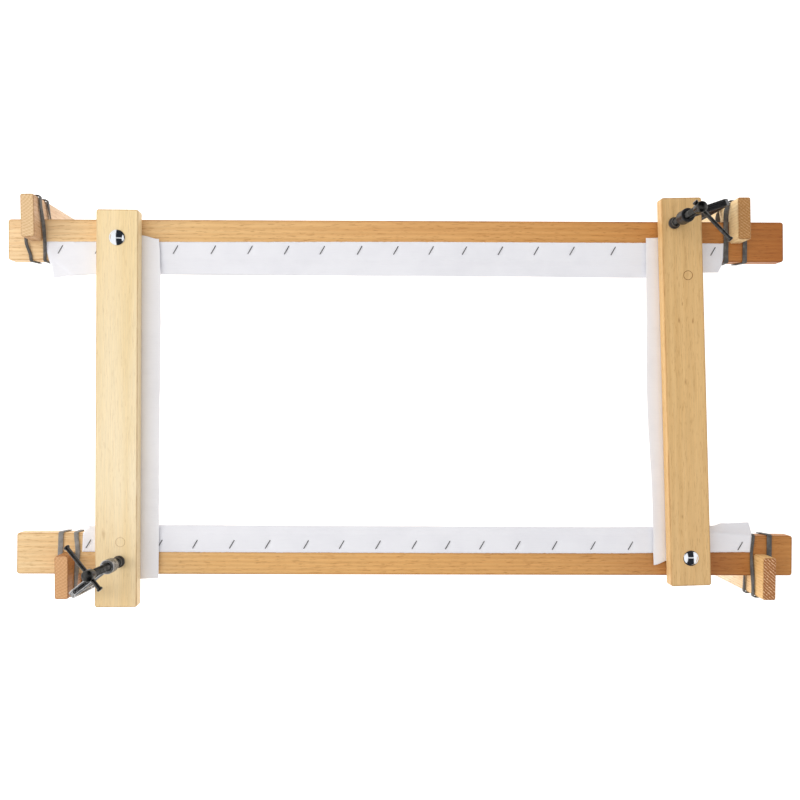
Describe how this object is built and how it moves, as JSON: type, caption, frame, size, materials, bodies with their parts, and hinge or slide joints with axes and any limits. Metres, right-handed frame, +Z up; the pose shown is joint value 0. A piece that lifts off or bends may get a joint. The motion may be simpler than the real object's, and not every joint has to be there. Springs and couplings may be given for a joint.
{
  "type": "tapestry frame loom",
  "caption": "Flat wooden tapestry frame loom: two webbed rails and two side bars, bolted and clamped, standing on notched legs tied on with rubber bands.",
  "frame": {"origin": "centre of the bounding box at the level of the feet", "axes": "+X along the rails, +Y from the bottom rail to the top rail, +Z up out of the working face"},
  "size_m": [0.8524, 0.4368, 0.2876],
  "materials": {
    "pale_wood": "planed, unfinished, pale",
    "tan_wood": "planed, unfinished, darker streaks",
    "rail_wood": "planed hardwood, unfinished",
    "leg_wood": "planed hardwood, rough end grain",
    "webbing": "cotton tape, plain weave",
    "staple_steel": "bright wire",
    "band_rubber": "matt grey rubber",
    "zinc_steel": "bright zinc plate",
    "clamp_iron": "black enamel, chipped",
    "worn_iron": "enamel worn to bare metal",
    "clamp_steel": "oiled dark steel"
  },
  "bodies": {
    "top_rail": {"top_rail": "rail_wood", "top_webbing": "webbing", "top_staples": "staple_steel"},
    "bottom_rail": {"bottom_rail": "rail_wood", "bottom_webbing": "webbing", "bottom_staples": "staple_steel"},
    "left_bar": {"left_side_bar": "pale_wood", "left_strip": "webbing", "left_bar_staples": "staple_steel", "left_coach_bolt": "zinc_steel"},
    "right_bar": {"right_side_bar": "tan_wood", "right_strip": "webbing", "right_bar_staples": "staple_steel", "right_coach_bolt": "zinc_steel"},
    "top_left_leg": {"top_left_leg": "leg_wood", "top_left_band": "band_rubber"},
    "top_right_leg": {"top_right_leg": "leg_wood", "top_right_band": "band_rubber"},
    "bottom_left_leg": {"bottom_left_leg": "leg_wood", "bottom_left_band": "band_rubber"},
    "bottom_right_leg": {"bottom_right_leg": "leg_wood", "bottom_right_band": "band_rubber"},
    "left_washer": {"left_washer": "zinc_steel"},
    "left_wing_nut": {"left_wing_nut": "zinc_steel"},
    "right_washer": {"right_washer": "zinc_steel"},
    "right_wing_nut": {"right_wing_nut": "zinc_steel"},
    "upper_clamp_frame": {"upper_clamp_frame": "clamp_iron"},
    "upper_clamp_pad": {"upper_clamp_swivel_pad": "clamp_iron"},
    "upper_clamp_screw": {"upper_clamp_screw": "clamp_steel"},
    "upper_clamp_tommy_bar": {"upper_clamp_tommy_bar": "clamp_steel"},
    "lower_clamp_frame": {"lower_clamp_frame": "worn_iron"},
    "lower_clamp_pad": {"lower_clamp_swivel_pad": "clamp_iron"},
    "lower_clamp_screw": {"lower_clamp_screw": "clamp_steel"},
    "lower_clamp_tommy_bar": {"lower_clamp_tommy_bar": "clamp_steel"}
  },
  "joints": [
    {"name": "height_slide", "type": "slide", "parent": "top_rail", "child": "bottom_rail", "axis": [0, 1, 0], "range_m": [-0.018, 0.18]},
    {"name": "left_bar_swing", "type": "hinge", "parent": "top_rail", "child": "left_bar", "pos_m": [-0.30584, 0.1724, 0.187], "axis": [0, 0, 1], "range_deg": [0, 90]},
    {"name": "right_bar_swing", "type": "hinge", "parent": "bottom_rail", "child": "right_bar", "pos_m": [0.30583, -0.17196, 0.187], "axis": [0, 0, 1], "range_deg": [0, 90]},
    {"name": "top_left_leg_slide", "type": "slide", "parent": "top_rail", "child": "top_left_leg", "axis": [1, 0, 0], "range_m": [-0.017, 0]},
    {"name": "top_right_leg_slide", "type": "slide", "parent": "top_rail", "child": "top_right_leg", "axis": [1, 0, 0], "range_m": [0, 0.04]},
    {"name": "bottom_left_leg_slide", "type": "slide", "parent": "bottom_rail", "child": "bottom_left_leg", "axis": [0.9999, -0.0133, 0], "range_m": [-0.04, 0]},
    {"name": "bottom_right_leg_slide", "type": "slide", "parent": "bottom_rail", "child": "bottom_right_leg", "axis": [0.9999, -0.0133, 0], "range_m": [0, 0.02]},
    {"name": "upper_clamp_slide", "type": "slide", "parent": "top_rail", "child": "upper_clamp_frame", "axis": [0, 1, 0], "range_m": [0, 0.06]},
    {"name": "lower_clamp_slide", "type": "slide", "parent": "bottom_rail", "child": "lower_clamp_frame", "axis": [0, -1, 0], "range_m": [0, 0.06]},
    {"name": "upper_clamp_pad_travel", "type": "slide", "parent": "upper_clamp_frame", "child": "upper_clamp_pad", "axis": [0, 0, 1], "range_m": [0, 0.01195]},
    {"name": "upper_clamp_screw_turn", "type": "hinge", "parent": "upper_clamp_pad", "child": "upper_clamp_screw", "pos_m": [0.2891, 0.1899, 0.1942], "axis": [0, 0, 1], "range_deg": [0, 2870]},
    {"name": "upper_clamp_tommy_slide", "type": "slide", "parent": "upper_clamp_screw", "child": "upper_clamp_tommy_bar", "axis": [0.6896, -0.7242, 0], "range_m": [-0.0362, 0]},
    {"name": "lower_clamp_pad_travel", "type": "slide", "parent": "lower_clamp_frame", "child": "lower_clamp_pad", "axis": [0, 0.0541, 0.9985], "range_m": [0, 0.01195]},
    {"name": "lower_clamp_screw_turn", "type": "hinge", "parent": "lower_clamp_pad", "child": "lower_clamp_screw", "pos_m": [-0.3046, -0.1692, 0.1942], "axis": [0, 0.0541, 0.9985], "range_deg": [0, 2870]},
    {"name": "lower_clamp_tommy_slide", "type": "slide", "parent": "lower_clamp_screw", "child": "lower_clamp_tommy_bar", "axis": [-0.6239, 0.7804, -0.0423], "range_m": [-0.0268, 0.0096]},
    {"name": "left_washer_travel", "type": "slide", "parent": "top_rail", "child": "left_washer", "axis": [0, 0, -1], "range_m": [0, 0.00597]},
    {"name": "left_wing_nut_turn", "type": "hinge", "parent": "left_washer", "child": "left_wing_nut", "pos_m": [-0.30584, 0.1724, 0.158], "axis": [0, 0, -1], "range_deg": [0, 2150]},
    {"name": "right_washer_travel", "type": "slide", "parent": "bottom_rail", "child": "right_washer", "axis": [0, 0, -1], "range_m": [0, 0.00597]},
    {"name": "right_wing_nut_turn", "type": "hinge", "parent": "right_washer", "child": "right_wing_nut", "pos_m": [0.30583, -0.17196, 0.158], "axis": [0, 0, -1], "range_deg": [0, 2150]}
  ],
  "couplings": [
    {"joint": "upper_clamp_screw_turn", "follows": "upper_clamp_pad_travel", "rad_per_m": 4188.8},
    {"joint": "lower_clamp_screw_turn", "follows": "lower_clamp_pad_travel", "rad_per_m": 4188.8},
    {"joint": "left_wing_nut_turn", "follows": "left_washer_travel", "rad_per_m": 6283.2},
    {"joint": "right_wing_nut_turn", "follows": "right_washer_travel", "rad_per_m": 6283.2}
  ]
}
